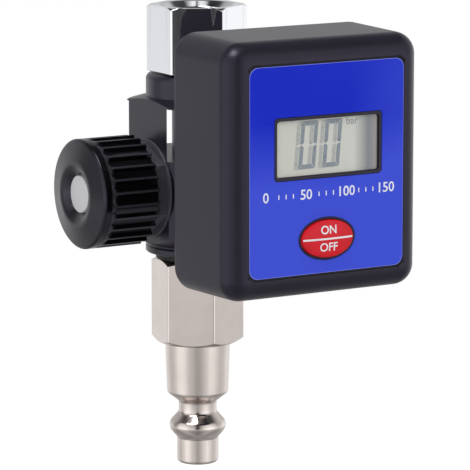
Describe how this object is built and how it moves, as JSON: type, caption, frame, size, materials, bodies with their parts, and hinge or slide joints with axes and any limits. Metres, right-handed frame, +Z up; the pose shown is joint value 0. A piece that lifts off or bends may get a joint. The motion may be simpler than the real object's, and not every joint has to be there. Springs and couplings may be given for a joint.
{
  "type": "digital air pressure regulator",
  "caption": "In-line air regulator: hexagonal swivel nut, spool body, quick-connect plug, ribbed side knob, boxed digital gauge with oval button.",
  "frame": {"origin": "centre of the tip of the quick-connect plug's nose, on the port axis", "axes": "+Z up the port axis towards the swivel nut, gauge face towards -Y, control knob towards -X"},
  "size_m": [0.0479, 0.0621, 0.0906],
  "materials": {
    "nickel_plate": "satin nickel plate",
    "black_rubber": "matte",
    "anodised_aluminium": "black anodised, fine satin",
    "chrome_plate": "polished plate",
    "white_plastic": "natural",
    "turned_steel": "turned",
    "knob_plastic": "moulded, semi-gloss black",
    "brass": "turned",
    "badge_aluminium": "blasted",
    "ceramic": "unglazed ceramic",
    "tinned_pins": "tinned",
    "housing_plastic": "moulded, fine grain",
    "label_film": "printed film",
    "display_glass": "polished",
    "strip_rubber": "matte",
    "button_plastic": "moulded",
    "switch_plastic": "moulded",
    "board_laminate": "solder mask",
    "cell_steel": "pressed"
  },
  "bodies": {
    "regulator": {"inlet_plug": "nickel_plate", "inlet_seal": "black_rubber", "valve_body": "anodised_aluminium", "outlet_stem": "nickel_plate", "outlet_seal": "black_rubber", "bonnet": "anodised_aluminium", "bonnet_o_ring": "black_rubber", "valve_seat": "white_plastic", "gauge_stem": "nickel_plate", "gauge_stem_seal": "black_rubber", "stem_lock_nut": "brass", "sensor_seal": "black_rubber", "pressure_sensor": "ceramic", "sensor_pins": "tinned_pins", "front_housing": "housing_plastic", "rear_cover": "housing_plastic", "face_label": "label_film", "lcd_panel": "display_glass", "lcd_connectors": "strip_rubber", "tact_switch": "switch_plastic", "circuit_board": "board_laminate", "board_screws": "turned_steel", "battery": "cell_steel", "battery_clip": "turned_steel"},
    "nut": {"swivel_nut": "chrome_plate"},
    "spindle": {"needle_spindle": "turned_steel", "spindle_o_ring": "black_rubber"},
    "control_knob": {"knob": "knob_plastic", "knob_insert": "brass", "knob_screw": "turned_steel", "knob_badge": "badge_aluminium"},
    "button": {"power_button": "button_plastic"}
  },
  "joints": [
    {"name": "nut_swivel", "type": "hinge", "parent": "regulator", "child": "nut", "pos_m": [0, 0, 0.08], "axis": [0, 0, 1], "continuous": true},
    {"name": "spindle_travel", "type": "slide", "parent": "regulator", "child": "spindle", "axis": [-1, 0, 0], "range_m": [0, 0.0024]},
    {"name": "knob_turn", "type": "hinge", "parent": "spindle", "child": "control_knob", "pos_m": [0, 0, 0.0555], "axis": [-1, 0, 0], "range_deg": [0, 1080]},
    {"name": "button_press", "type": "slide", "parent": "regulator", "child": "button", "axis": [0, 1, 0], "range_m": [0, 0.0005], "stiffness_N_per_m": 1500, "springref_m": -0.0003}
  ],
  "couplings": [
    {"joint": "spindle_travel", "follows": "knob_turn", "m_per_rad": 0.00012732}
  ]
}
